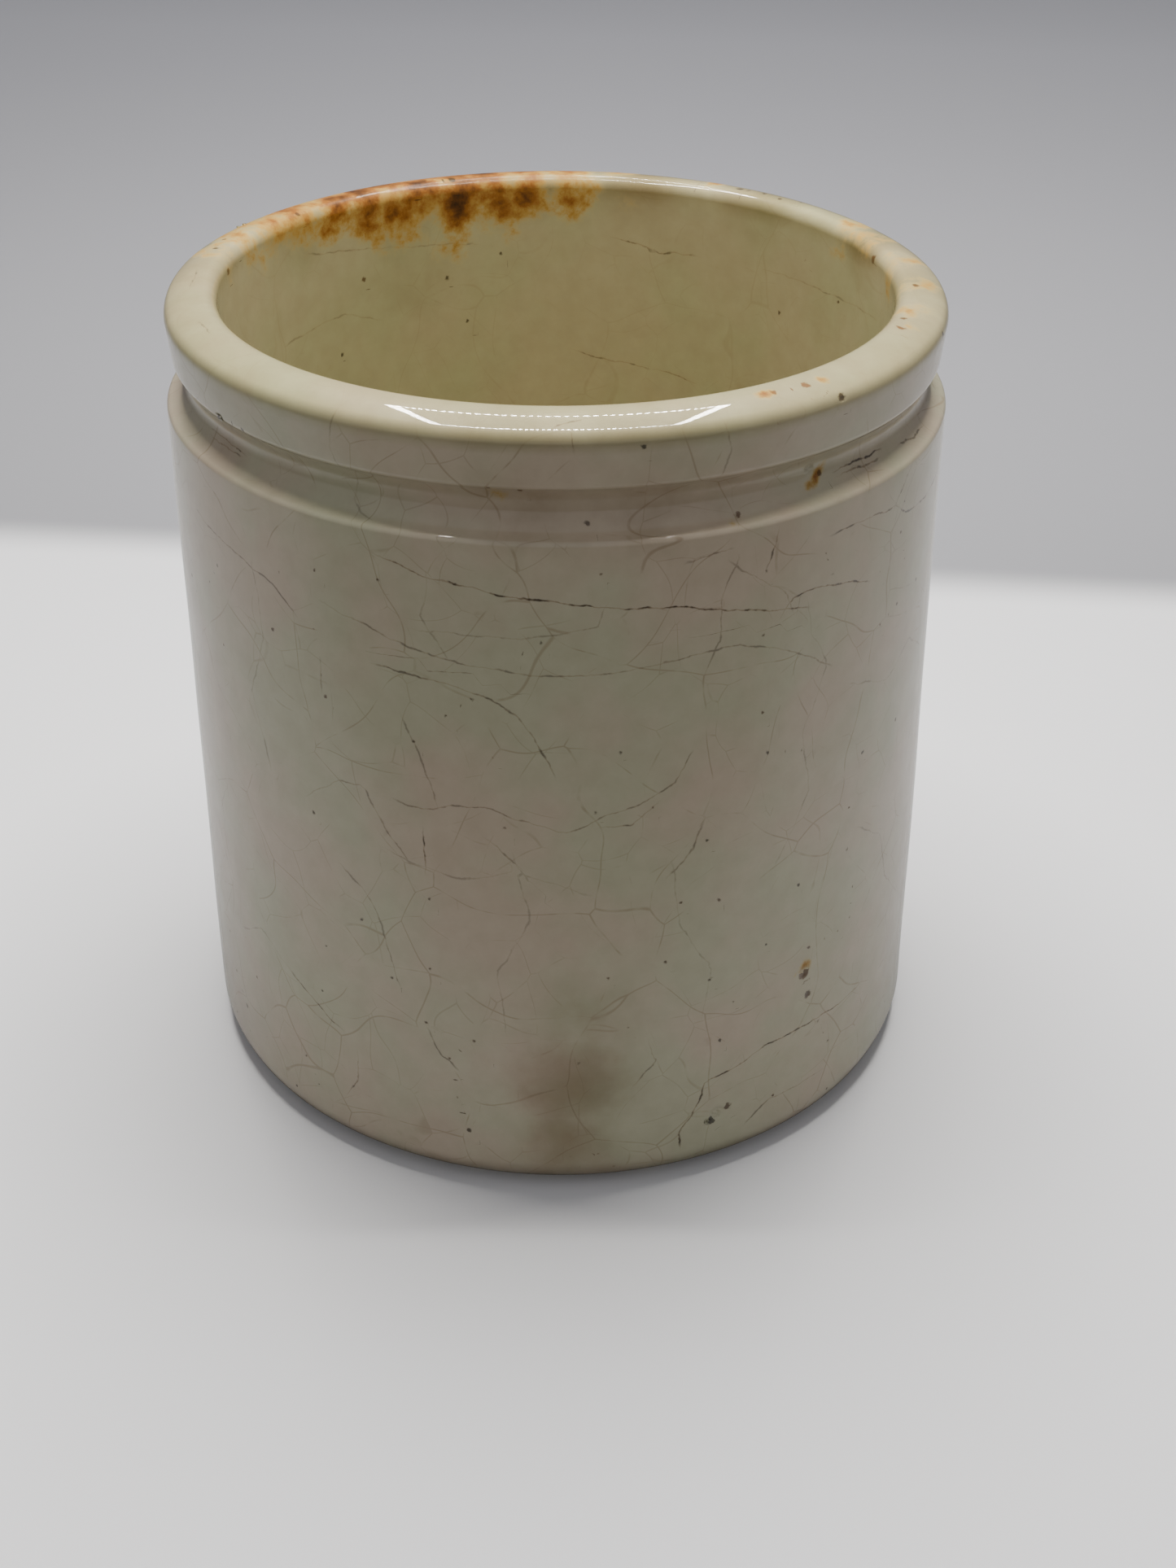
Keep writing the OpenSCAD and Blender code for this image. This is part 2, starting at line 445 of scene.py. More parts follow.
mark_cracks(
    "cracks_fine",
    (
        (0.45, 48.3, ((24, 86.5), (28, 84), (32, 81.5), (33, 79.5))),
        (0.35, 48.4, ((-17, 86), (-18, 81), (-15, 77))),
        (0.35, 48.4, ((36, 79), (37, 75), (40, 71))),
        (0.35, 48.4, ((-46, 81), (-45, 72), (-49, 64), (-46, 55))),
        (0.3, 48.5, ((40, 70), (36, 62), (38, 54), (33, 46))),
        (0.35, 48.6, ((-24, 49), (-14, 47), (-6, 49), (3, 46))),
        (0.3, 48.7, ((-6, 50), (-4, 42), (-9, 34), (-8, 26))),
        (0.35, 48.7, ((16, 48), (17, 40), (22, 33), (21, 26))),
        (0.3, 48.5, ((46, 66), (55, 63), (63, 66), (70, 62))),
        (0.35, 48.6, ((50, 44), (57, 40), (60, 32), (66, 27))),
        (0.3, 48.6, ((-60, 46), (-66, 38), (-62, 30), (-68, 22))),
        (0.3, 48.6, ((-44, 24), (-52, 28), (-58, 25))),
        (0.4, 44.0, ((153, 103.6), (153, 104.4), (153, 103.9))),
        (0.35, 47.0, ((-30, 103), (-31, 99), (-30, 97))),
        (0.35, 47.2, ((22, 102.6), (23, 99.5), (22, 97))),
        (0.3, 46.0, ((-28, 96), (-29, 92.5), (-27, 90.5))),
        (0.95, 45.6, ((-61, 93.1), (-57, 93.2), (-52, 92.9))),
        (0.95, 45.6, ((44, 93.0), (48, 93.1), (53, 92.7))),
    ),
)

# Specks of iron and dirt in the glaze: angle, height, radius of the place, the speck's own radius,
# and how rusty it is.
SPECKS = [
    (24.4, 9.4, 48.7, 0.85, 0.15), (23.2, 8.4, 48.7, 0.6, 0.0), (25.8, 9.9, 48.7, 0.5, 0.3),
    (39.0, 26.4, 48.6, 0.85, 0.5), (38.6, 29.0, 48.6, 0.4, 0.3), (39.8, 30.2, 48.6, 0.3, 0.3),
    (40.2, 22.6, 48.6, 0.55, 0.3), (27, 27.5, 48.7, 0.28, 0.0), (22, 31, 48.7, 0.25, 0.1),
    (-14, 21.5, 48.8, 0.3, 0.0), (-11, 21.3, 48.8, 0.22, 0.0), (-14, 9, 48.9, 0.35, 0.1),
    (-25, 30.5, 48.7, 0.25, 0.1), (-16, 18.6, 48.8, 0.3, 0.1), (-15.5, 14, 48.8, 0.22, 0.2),
    (24, 92.5, 45.8, 0.6, 0.6), (25, 91.4, 46.2, 0.35, 0.5), (38, 94.2, 45.4, 0.65, 0.35),
    (40, 93.4, 45.4, 0.4, 0.4), (-7, 96.8, 46.6, 0.4, 0.7), (-5, 96.4, 46.4, 0.35, 0.6),
    (-9, 96.6, 46.5, 0.3, 0.7), (4, 92.4, 46.0, 0.3, 0.2), (41, 102.5, 46.9, 0.5, 0.15),
    (37, 104, 44.9, 0.55, 0.95), (30, 103.4, 45.9, 0.5, 0.9), (31.5, 104, 44.6, 0.35, 0.9),
    (-54, 97, 47.0, 0.4, 0.1), (-48, 97, 47.0, 0.35, 0.1), (11, 101.5, 47.5, 0.28, 0.0),
    (72, 102, 47.2, 0.4, 0.0), (65, 104.2, 43.9, 0.5, 0.95), (69, 104.2, 43.2, 0.4, 0.6),
    (85, 104.3, 43.5, 0.45, 0.5), (104, 103, 41.4, 0.5, 0.5), (145, 104.3, 43.5, 0.5, 0.1),
    (140, 104.3, 43.9, 0.45, 0.1), (133, 104, 44.4, 0.5, 0.1), (136, 104.2, 43.2, 0.35, 0.2),
    (-152, 104, 42.2, 0.6, 0.05), (-160, 104.1, 42.6, 0.55, 0.0), (-155, 104.2, 43.2, 0.4, 0.3),
    (-126, 104, 42, 0.35, 0.3), (-105, 104.3, 42.6, 0.4, 0.2), (-103, 104.3, 43.8, 0.4, 0.15),
    (-98, 102.6, 41.3, 0.5, 0.4), (-108, 104.2, 44.4, 0.3, 0.3), (-140, 93, 41.2, 0.4, 0.4),
    (-158, 91, 41.2, 0.35, 0.1), (-162, 84.5, 41.2, 0.3, 0.1), (24, 21, 48.8, 0.25, 0.1),
]
SPECK_REACH = 2.4 * MM
chance = np.random.default_rng(7)
for _ in range(210):
    height = chance.uniform(3, 89)
    SPECKS.append(
        (
            chance.uniform(-180, 180),
            height,
            48.9 - 0.007 * height,
            chance.uniform(0.09, 0.24),
            chance.uniform(0, 0.4),
        ),
    )
for _ in range(70):
    SPECKS.append(
        (
            chance.uniform(-180, 180),
            chance.uniform(16, 100),
            41.2,
            chance.uniform(0.12, 0.32),
            chance.uniform(0, 0.4),
        ),
    )
speck_marks = np.zeros((vertex_count, 4))
speck_marks[:, :2] = 9.0
for angle, height, radius, size, rust in SPECKS:
    centre = spot_on_pot(angle, height, radius)
    near = np.flatnonzero(np.linalg.norm(places - centre, axis=1) < SPECK_REACH)
    if not len(near):
        continue
    outward = facing[near].mean(axis=0)
    outward /= np.linalg.norm(outward)
    across = np.cross(outward, (0.3, 0.2, 1.0))
    across /= np.linalg.norm(across)
    upward = np.cross(across, outward)
    speck_marks[near, 0] = (places[near] - centre) @ across / MM
    speck_marks[near, 1] = (places[near] - centre) @ upward / MM
    speck_marks[near, 2] = size
    speck_marks[near, 3] = rust
keep_marks("specks", speck_marks)

# Broad marks: angle, height, radius of the place, the mark's own radius, and its strength. Rust comes
# from a metal lid or wire on the rim, and brown fat has soaked in round the rim. The brown list also darkens
# a broad patch low on the front, and its first two entries are painted shade in the groove at the front.
STAIN_AND_SHADE_SPOTS = {
    "rust": (
        (-140, 102.5, 42.0, 6.5, 0.95), (-146, 104, 43.4, 6.0, 1.0), (-134, 103.6, 43.2, 6.0, 0.85),
        (-142, 99.5, 41.2, 5.5, 0.52), (-152, 103.6, 42.8, 6.5, 0.85), (-160, 103.4, 43.2, 6.5, 0.95),
        (-167, 103.2, 43.4, 6.5, 1.0), (-173, 102.8, 43.0, 6.0, 0.95), (-168, 100.4, 41.2, 5.5, 0.55),
        (-160, 99.8, 41.2, 5.0, 0.42), (-150, 99.5, 41.2, 5.0, 0.38), (-126, 104.2, 44.0, 6.5, 0.75),
        (-117, 104.2, 44.0, 6.0, 0.65), (-108, 104.0, 44.5, 5.5, 0.58), (-100, 104.0, 45.0, 5.0, 0.48),
        (-159, 96.0, 41.2, 4.5, 0.34), (178, 103.4, 44.0, 6.5, 0.72), (-178, 103.6, 46.0, 6.0, 0.8),
        (-166, 103.0, 46.4, 6.0, 0.9), (-146, 103.0, 46.4, 5.5, 0.85), (-156, 103.0, 46.4, 5.5, 0.85),
        (-134, 103.0, 46.6, 5.5, 0.75), (168, 103.6, 44.6, 5.0, 0.6), (152, 104.2, 44.0, 3.2, 0.6),
        (110, 103.5, 41.8, 4.5, 0.46), (118, 104, 43.2, 5.0, 0.42), (96, 104, 42.6, 5.0, 0.42),
        (84, 104.2, 43.4, 4.5, 0.4), (72, 104.2, 43.6, 4.0, 0.38), (37, 104, 44.9, 1.5, 0.75),
        (30, 103.6, 45.6, 1.5, 0.7), (65, 104.2, 43.9, 1.6, 0.65), (24, 92.4, 45.9, 1.6, 0.6),
        (39, 94, 45.4, 1.8, 0.55), (-7, 96.6, 46.5, 2.4, 0.45), (39.2, 26.6, 48.6, 1.6, 0.5),
    ),
    "brown": (
        # First two: painted shade in the groove at the front. Next three: a broad brown patch low on the
        # front.
        (-5, 94, 45.6, 12.0, 0.4), (12, 94, 45.6, 12.0, 0.4), (2, 17, 48.8, 11.0, 0.95),
        (1, 9, 48.8, 10.0, 0.8), (3, 27, 48.8, 12.0, 0.5), (-150, 104, 44, 10.0, 0.7),
        (-172, 104, 44, 9.0, 0.7), (-124, 104, 44, 9.0, 0.6), (165, 104, 44, 9.0, 0.55),
        (140, 104, 44, 8.0, 0.4), (22, 93, 46, 6.0, 0.4), (-8, 96, 46.4, 6.0, 0.45),
        (-55, 93, 46, 7.0, 0.35), (48, 92.5, 46, 7.0, 0.35), (110, 103.5, 42, 6.0, 0.6),
        (88, 104, 43, 6.0, 0.3), (-95, 104, 43.5, 7.0, 0.2), (170, 30, 48.6, 11.0, 0.35),
        (-120, 8, 48.8, 9.0, 0.4), (120, 92.5, 46, 8.0, 0.35), (-150, 93, 46, 10.0, 0.4),
        (0, 7, 20, 26.0, 0.5),
    ),
}
stain_and_shade_marks = np.zeros((vertex_count, 4))
ripples = 1.1 * MM * np.sin(places[:, (1, 2, 0)] / (1.3 * MM))
swells = 0.8 * MM * np.sin(places[:, (2, 0, 1)] / (2.9 * MM) + 1)
ragged_places = places + ripples + swells
for column, (name, taken_from) in enumerate((("rust", ragged_places), ("brown", places))):
    for angle, height, radius, reach, strength in STAIN_AND_SHADE_SPOTS[name]:
        gap = np.linalg.norm(taken_from - spot_on_pot(angle, height, radius), axis=1) / (reach * MM)
        stain_and_shade_marks[:, column] = np.maximum(stain_and_shade_marks[:, column], strength * np.clip(1 - gap, 0, 1) ** 0.8)
from_axis = np.hypot(places[:, 0], places[:, 1]) / MM
over_table = places[:, 2] / MM
# Inside the jar the glaze gets painted bounce light and shade: a yellower tint and a darker brown. On the rim
# both are age.
inside = np.clip((42.6 - from_axis) / 1.5, 0, 1) * (over_table > 6)
on_rim = np.clip((over_table - 100.8) / 1.6, 0, 1)
stain_and_shade_marks[:, 1] = np.clip(stain_and_shade_marks[:, 1] + 0.32 * on_rim + 0.12 * inside, 0, 1)
stain_and_shade_marks[:, 2] = np.maximum(inside, on_rim)
# Fourth column: darker towards the foot, and painted shade along the bottom of the groove.
darker_toward_foot = np.clip((4.5 - over_table) / 3.0, 0, 1)
groove_bottom = np.clip(1 - np.abs(from_axis - 45.6) / 1.3, 0, 1)
in_groove = (over_table > 90.5) & (over_table < 97.5)
stain_and_shade_marks[:, 3] = darker_toward_foot + groove_bottom * in_groove * 0.25
keep_marks("stains_and_painted_shade", stain_and_shade_marks)
settle_pot(glaze)

# Clear lead glaze over cream ironstone, fired glossy: the colour of the clay comes through, a little pink
# or green where the coat is thin or thick. Age has crazed it and yellowed the rim; inside the jar a yellower,
# darker tint is painted bounce light and shade.
crazed = bpy.data.materials.new("crazed_lead_glaze")
crazed.use_nodes = True
tree = crazed.node_tree
tree.nodes.clear()
place = add(tree, "ShaderNodeTexCoord").outputs["Object"]
stains_and_painted_shade = add(tree, "ShaderNodeAttribute", {"attribute_name": "stains_and_painted_shade"})
stain_and_shade = add(tree, "ShaderNodeSeparateColor", inputs={"Color": stains_and_painted_shade.outputs["Color"]})

# Pink and green clouds, about 18 mm across, and a fainter mottle of about 3 mm.
clouds = add(
    tree,
    "ShaderNodeTexNoise",
    inputs={"Vector": place, "Scale": 1 / (18 * MM), "Detail": 3.0, "Roughness": 0.55},
)
cloud_share = add(
    tree,
    "ShaderNodeMapRange",
    inputs={"Value": clouds.outputs["Fac"], "From Min": 0.38, "From Max": 0.62},
)
wall_colour = add(
    tree,
    "ShaderNodeMix",
    {"data_type": "RGBA"},
    {0: cloud_share.outputs[0], 6: linear("#c3b5a0"), 7: linear("#bab89d")},
)
# Yellowed by age on the rim; inside the jar the same tint is painted bounce light and shade.
aged_rim_and_inside_bounce_colour = add(
    tree,
    "ShaderNodeMix",
    {"data_type": "RGBA"},
    {0: cloud_share.outputs[0], 6: linear("#afa580"), 7: linear("#aba77f")},
)
cream = add(
    tree,
    "ShaderNodeMix",
    {"data_type": "RGBA"},
    {0: stain_and_shade.outputs["Blue"], 6: wall_colour.outputs[2], 7: aged_rim_and_inside_bounce_colour.outputs[2]},
)
mottle = add(
    tree,
    "ShaderNodeTexNoise",
    inputs={"Vector": place, "Scale": 1 / (3 * MM), "Detail": 5.0, "Roughness": 0.6},
)
mottle_share = add(
    tree,
    "ShaderNodeMapRange",
    inputs={"Value": mottle.outputs["Fac"], "From Min": 0.3, "From Max": 0.7, "To Max": 0.16},
)
mottled = add(
    tree,
    "ShaderNodeMix",
    {"data_type": "RGBA", "blend_type": "MULTIPLY"},
    {0: mottle_share.outputs[0], 6: cream.outputs[2], 7: linear("#b39f86")},
)
tinted = mottled.outputs[2]

# Fine crazing all over: irregular cells of about 16 mm, then 7 mm, with hairlines that come and go.
warp = add(tree, "ShaderNodeTexNoise", inputs={"Vector": place, "Scale": 1 / (14 * MM), "Detail": 1.0})
bend = add(
    tree,
    "ShaderNodeVectorMath",
    {"operation": "MULTIPLY_ADD"},
    {0: warp.outputs["Color"], 1: (8 * MM,) * 3, 2: place},
)
come_and_go = add(
    tree,
    "ShaderNodeTexNoise",
    inputs={"Vector": place, "Scale": 1 / (8 * MM), "Detail": 3.0, "Roughness": 0.7},
)
hairlines = None
for cell, width, lowest, strength in ((16 * MM, 0.08 * MM, 0.47, 0.32), (7 * MM, 0.06 * MM, 0.52, 0.22)):
    net = add(
        tree,
        "ShaderNodeTexVoronoi",
        {"feature": "DISTANCE_TO_EDGE"},
        {"Vector": bend.outputs[0], "Scale": 1 / cell},
    )
    line = add(
        tree,
        "ShaderNodeMapRange",
        {"interpolation_type": "SMOOTHSTEP"},
        {
            "Value": net.outputs["Distance"],
            "From Min": 0.3 * width / cell,
            "From Max": 1.6 * width / cell,
            "To Min": strength,
            "To Max": 0.0,
        },
    )
    shown = add(
        tree,
        "ShaderNodeMapRange",
        {"interpolation_type": "SMOOTHSTEP"},
        {"Value": come_and_go.outputs["Fac"], "From Min": lowest - 0.06, "From Max": lowest + 0.08},
    )
    drawn = add(tree, "ShaderNodeMath", {"operation": "MULTIPLY"}, {0: line.outputs[0], 1: shown.outputs[0]})
    hairlines = drawn if hairlines is None else add(
        tree, "ShaderNodeMath", {"operation": "MAXIMUM"}, {0: hairlines.outputs[0], 1: drawn.outputs[0]}
    )
fainter = add(
    tree,
    "ShaderNodeMapRange",
    inputs={"Value": stain_and_shade.outputs["Blue"], "To Min": 1.0, "To Max": 0.3},
)
faint_net = add(
    tree,
    "ShaderNodeMath",
    {"operation": "MULTIPLY"},
    {0: hairlines.outputs[0], 1: fainter.outputs[0]},
)
crazing = add(
    tree, "ShaderNodeMix", {"data_type": "RGBA"}, {0: faint_net.outputs[0], 6: tinted, 7: linear("#765724")}
)
tinted = crazing.outputs[2]

# The dirty cracks: a line about 0.2 mm wide, which wanders a little and is darker in dashes.
wander = add(
    tree,
    "ShaderNodeTexNoise",
    inputs={"Vector": place, "Scale": 1 / (3.2 * MM), "Detail": 4.0, "Roughness": 0.55},
)
swerve = add(
    tree,
    "ShaderNodeMapRange",
    inputs={
        "Value": wander.outputs["Fac"],
        "From Min": 0.2,
        "From Max": 0.8,
        "To Min": -0.36,
        "To Max": 0.36,
    },
)
dashes = add(
    tree,
    "ShaderNodeTexNoise",
    inputs={"Vector": place, "Scale": 1 / (3.4 * MM), "Detail": 3.0, "Roughness": 0.75},
)
dash_share = add(
    tree,
    "ShaderNodeMapRange",
    {"interpolation_type": "SMOOTHSTEP"},
    {"Value": dashes.outputs["Fac"], "From Min": 0.42, "From Max": 0.62, "To Min": 0.34, "To Max": 1.0},
)
crack_width = add(
    tree,
    "ShaderNodeMapRange",
    inputs={
        "Value": dashes.outputs["Fac"],
        "From Min": 0.45,
        "From Max": 0.7,
        "To Min": 0.11,
        "To Max": 0.25,
    },
)
dirty_cracks = None
for layer_name in ("cracks_long", "cracks_branching", "cracks_fine"):
    layer = add(tree, "ShaderNodeAttribute", {"attribute_name": layer_name})
    mark = add(tree, "ShaderNodeSeparateColor", inputs={"Color": layer.outputs["Color"]})
    off_line = add(
        tree,
        "ShaderNodeMath",
        {"operation": "ADD"},
        {0: mark.outputs["Red"], 1: swerve.outputs[0]},
    )
    gap = add(tree, "ShaderNodeMath", {"operation": "ABSOLUTE"}, {0: off_line.outputs[0]})
    line = add(
        tree,
        "ShaderNodeMapRange",
        {"interpolation_type": "SMOOTHSTEP"},
        {
            "Value": gap.outputs[0],
            "From Min": 0.03,
            "From Max": crack_width.outputs[0],
            "To Min": 1.0,
            "To Max": 0.0,
        },
    )
    dark = add(
        tree,
        "ShaderNodeMath",
        {"operation": "MULTIPLY"},
        {0: line.outputs[0], 1: mark.outputs["Green"]},
    )
    dirty_cracks = dark if dirty_cracks is None else add(
        tree, "ShaderNodeMath", {"operation": "MAXIMUM"}, {0: dirty_cracks.outputs[0], 1: dark.outputs[0]}
    )
cracks = add(
    tree,
    "ShaderNodeMath",
    {"operation": "MULTIPLY"},
    {0: dirty_cracks.outputs[0], 1: dash_share.outputs[0]},
)
dirt_colour = add(
    tree,
    "ShaderNodeMix",
    {"data_type": "RGBA"},
    {0: dash_share.outputs[0], 6: linear("#8a632a"), 7: linear("#331f08")},
)
cracked = add(
    tree,
    "ShaderNodeMix",
    {"data_type": "RGBA"},
    {0: cracks.outputs[0], 6: tinted, 7: dirt_colour.outputs[2]},
)
tinted = cracked.outputs[2]

# Brown fat and tea staining, cloudy at the edges. The same layer darkens a broad patch low on the front, and
# paints shade inside the jar and in the groove at the front.
blotch_noise = add(
    tree,
    "ShaderNodeTexNoise",
    inputs={"Vector": place, "Scale": 1 / (7 * MM), "Detail": 5.0, "Roughness": 0.6},
)
brown_and_shade_edge = add(
    tree,
    "ShaderNodeMath",
    {"operation": "MULTIPLY_ADD"},
    {0: blotch_noise.outputs["Fac"], 1: 0.5, 2: stain_and_shade.outputs["Green"]},
)
brown_and_shade_share = add(
    tree,
    "ShaderNodeMapRange",
    {"interpolation_type": "SMOOTHSTEP"},
    {"Value": brown_and_shade_edge.outputs[0], "From Min": 0.32, "From Max": 1.25, "To Max": 0.75},
)
fat_stain_and_painted_shade = add(
    tree,
    "ShaderNodeMix",
    {"data_type": "RGBA", "blend_type": "MULTIPLY"},
    {0: brown_and_shade_share.outputs[0], 6: tinted, 7: linear("#a58f60")},
)
tinted = fat_stain_and_painted_shade.outputs[2]

# Darker towards the foot, and painted shade along the bottom of the groove.
foot_and_groove_darkening = add(
    tree,
    "ShaderNodeMath",
    {"operation": "MULTIPLY"},
    {0: stains_and_painted_shade.outputs["Alpha"], 1: blotch_noise.outputs["Fac"]},
)
darkened_foot_and_groove = add(
    tree,
    "ShaderNodeMix",
    {"data_type": "RGBA", "blend_type": "MULTIPLY"},
    {0: foot_and_groove_darkening.outputs[0], 6: tinted, 7: linear("#b7a27c")},
)
tinted = darkened_foot_and_groove.outputs[2]

# Rust: a tan halo, then ochre, then dark brown grains where it is thickest.
rust_clump = add(
    tree,
    "ShaderNodeTexNoise",
    inputs={"Vector": place, "Scale": 1 / (2.6 * MM), "Detail": 6.0, "Roughness": 0.68},
)
rust_depth = add(
    tree,
    "ShaderNodeMath",
    {"operation": "MULTIPLY_ADD"},
    {0: rust_clump.outputs["Fac"], 1: 1.1, 2: stain_and_shade.outputs["Red"]},
)
rusty = add(
    tree,
    "ShaderNodeMapRange",
    inputs={"Value": rust_depth.outputs[0], "From Min": 0.55, "From Max": 1.5},
)
rust_colour = add(tree, "ShaderNodeValToRGB", inputs={"Fac": rusty.outputs[0]})
ramp = rust_colour.color_ramp
ramp.elements[0].position, ramp.elements[0].color = 0.12, linear("#c3b078")
ramp.elements[1].position, ramp.elements[1].color = 1.0, linear("#2d1b0d")
for position, shade_hex in ((0.40, "#ad8a45"), (0.64, "#8a5720"), (0.83, "#5a3513")):
    ramp.elements.new(position).color = linear(shade_hex)
rust_reach = add(
    tree,
    "ShaderNodeMapRange",
    {"interpolation_type": "SMOOTHSTEP"},
    {"Value": stain_and_shade.outputs["Red"], "From Min": 0.0, "From Max": 0.22},
)
rust_cover = add(
    tree,
    "ShaderNodeMapRange",
    {"interpolation_type": "SMOOTHSTEP"},
    {"Value": rusty.outputs[0], "From Min": 0.10, "From Max": 0.50},
)
rust_share = add(
    tree,
    "ShaderNodeMath",
    {"operation": "MULTIPLY"},
    {0: rust_reach.outputs[0], 1: rust_cover.outputs[0]},
)
rusted = add(
    tree,
    "ShaderNodeMix",
    {"data_type": "RGBA"},
    {0: rust_share.outputs[0], 6: tinted, 7: rust_colour.outputs["Color"]},
)
tinted = rusted.outputs[2]

# The specks, ragged at the edge.
speck_layer = add(tree, "ShaderNodeAttribute", {"attribute_name": "specks"})
speck = add(tree, "ShaderNodeSeparateColor", inputs={"Color": speck_layer.outputs["Color"]})
speck_place = add(
    tree,
    "ShaderNodeCombineXYZ",
    inputs={"X": speck.outputs["Red"], "Y": speck.outputs["Green"]},
)
speck_gap = add(tree, "ShaderNodeVectorMath", {"operation": "LENGTH"}, {0: speck_place.outputs[0]})
grain = add(tree, "ShaderNodeTexNoise", inputs={"Vector": place, "Scale": 1 / (0.6 * MM), "Detail": 3.0})
ragged_gap = add(
    tree,
    "ShaderNodeMath",
    {"operation": "MULTIPLY_ADD"},
    {0: grain.outputs["Fac"], 1: 0.9, 2: speck_gap.outputs["Value"]},
)
speck_depth = add(
    tree,
    "ShaderNodeMath",
    {"operation": "SUBTRACT"},
    {0: speck.outputs["Blue"], 1: ragged_gap.outputs[0]},
)
speck_share = add(
    tree,
    "ShaderNodeMapRange",
    {"interpolation_type": "SMOOTHSTEP"},
    {"Value": speck_depth.outputs[0], "From Min": -0.55, "From Max": -0.28, "To Max": 0.85},
)
speck_colour = add(
    tree,
    "ShaderNodeMix",
    {"data_type": "RGBA"},
    {0: speck_layer.outputs["Alpha"], 6: linear("#2b2416"), 7: linear("#74450f")},
)
specked = add(
    tree,
    "ShaderNodeMix",
    {"data_type": "RGBA"},
    {0: speck_share.outputs[0], 6: tinted, 7: speck_colour.outputs[2]},
)

# The glaze flowed smooth in the kiln, with faint ripples of about 6 mm and a finer orange peel.
# Rust is rougher.
ripple = add(tree, "ShaderNodeTexNoise", inputs={"Vector": place, "Scale": 1 / (6 * MM), "Detail": 1.0})
peel = add(tree, "ShaderNodeTexNoise", inputs={"Vector": place, "Scale": 1 / (0.9 * MM), "Detail": 2.0})
flow = add(
    tree,
    "ShaderNodeMath",
    {"operation": "MULTIPLY_ADD"},
    {0: peel.outputs["Fac"], 1: 0.05, 2: ripple.outputs["Fac"]},
)
crusted = add(
    tree,
    "ShaderNodeMath",
    {"operation": "MULTIPLY_ADD"},
    {0: rust_share.outputs[0], 1: rust_clump.outputs["Fac"], 2: flow.outputs[0]},
)
skin = add(
    tree,
    "ShaderNodeBump",
    inputs={"Height": crusted.outputs[0], "Strength": 0.2, "Distance": 0.1 * MM},
)
sheen = add(
    tree,
    "ShaderNodeMapRange",
    inputs={"Value": blotch_noise.outputs["Fac"], "From Min": 0.3, "From Max": 0.7, "To Min": 0.32, "To Max": 0.5},
)
glass_left = add(
    tree,
    "ShaderNodeMapRange",
    inputs={"Value": rust_share.outputs[0], "To Min": 1.0, "To Max": 0.25},
)
glaze_shader = add(
    tree,
    "ShaderNodeBsdfPrincipled",
    inputs={
        "Base Color": specked.outputs[2],
        "Roughness": sheen.outputs[0],
        "Specular IOR Level": 0.2,
        "Coat Weight": glass_left.outputs[0],
        "Coat Roughness": 0.02,
        "Normal": skin.outputs["Normal"],
        "Coat Normal": skin.outputs["Normal"],
    },
)
add(tree, "ShaderNodeOutputMaterial", inputs={"Surface": glaze_shader.outputs[0]})
glaze.data.materials.append(crazed)
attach(glaze, "root")
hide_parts("glaze_coat")

# ---------------------------------------------------------------- camera
# Above and in front of the pot, looking down by about 31 degrees.

CAMERA_BACK, CAMERA_HEIGHT = 258.99 * MM, 189.07 * MM
pitch, yaw, roll = math.radians(31.357), math.radians(-0.806), math.radians(0.367)
forward = Vector((-math.sin(yaw) * math.cos(pitch), math.cos(yaw) * math.cos(pitch), -math.sin(pitch)))
level_right = Vector((math.cos(yaw), math.sin(yaw), 0))
level_up = level_right.cross(forward)
camera_right = level_right * math.cos(roll) + level_up * math.sin(roll)
camera_up = level_up * math.cos(roll) - level_right * math.sin(roll)
camera_data = bpy.data.cameras.new("studio_camera")
camera_data.sensor_width = 36
camera_data.lens = 49.94
camera_data.clip_start, camera_data.clip_end = 0.01, 20
camera = bpy.data.objects.new("studio_camera", camera_data)
camera.matrix_world = Matrix(
    (
        (camera_right.x, camera_up.x, -forward.x, 0),
        (camera_right.y, camera_up.y, -forward.y, -CAMERA_BACK),
        (camera_right.z, camera_up.z, -forward.z, CAMERA_HEIGHT),
        (0, 0, 0, 1),
    )
)
bpy.context.scene.collection.objects.link(camera)
bpy.context.scene.camera = camera

# ---------------------------------------------------------------- table
# A sheet of matt white card on the table. Behind the pot it turns grey, darkest where the grey begins and
# lighter further back: painted shade of the backdrop.

bpy.ops.object.select_all(action="DESELECT")
bpy.ops.mesh.primitive_plane_add(size=6, location=(0, 0, 0))
table = bpy.context.object
table.name = "card_on_table"
card = bpy.data.materials.new("matt_white_card")
card.use_nodes = True
tree = card.node_tree
tree.nodes.clear()
place = add(tree, "ShaderNodeTexCoord").outputs["Object"]
spot = add(tree, "ShaderNodeSeparateXYZ", inputs={"Vector": place})
slant = add(
    tree,
    "ShaderNodeMath",
    {"operation": "MULTIPLY_ADD"},
    {0: spot.outputs["X"], 1: 0.12, 2: spot.outputs["Y"]},
)
back = add(
    tree,
    "ShaderNodeMapRange",
    {"interpolation_type": "SMOOTHSTEP"},
    {"Value": slant.outputs[0], "From Min": 127 * MM, "From Max": 145 * MM},
)
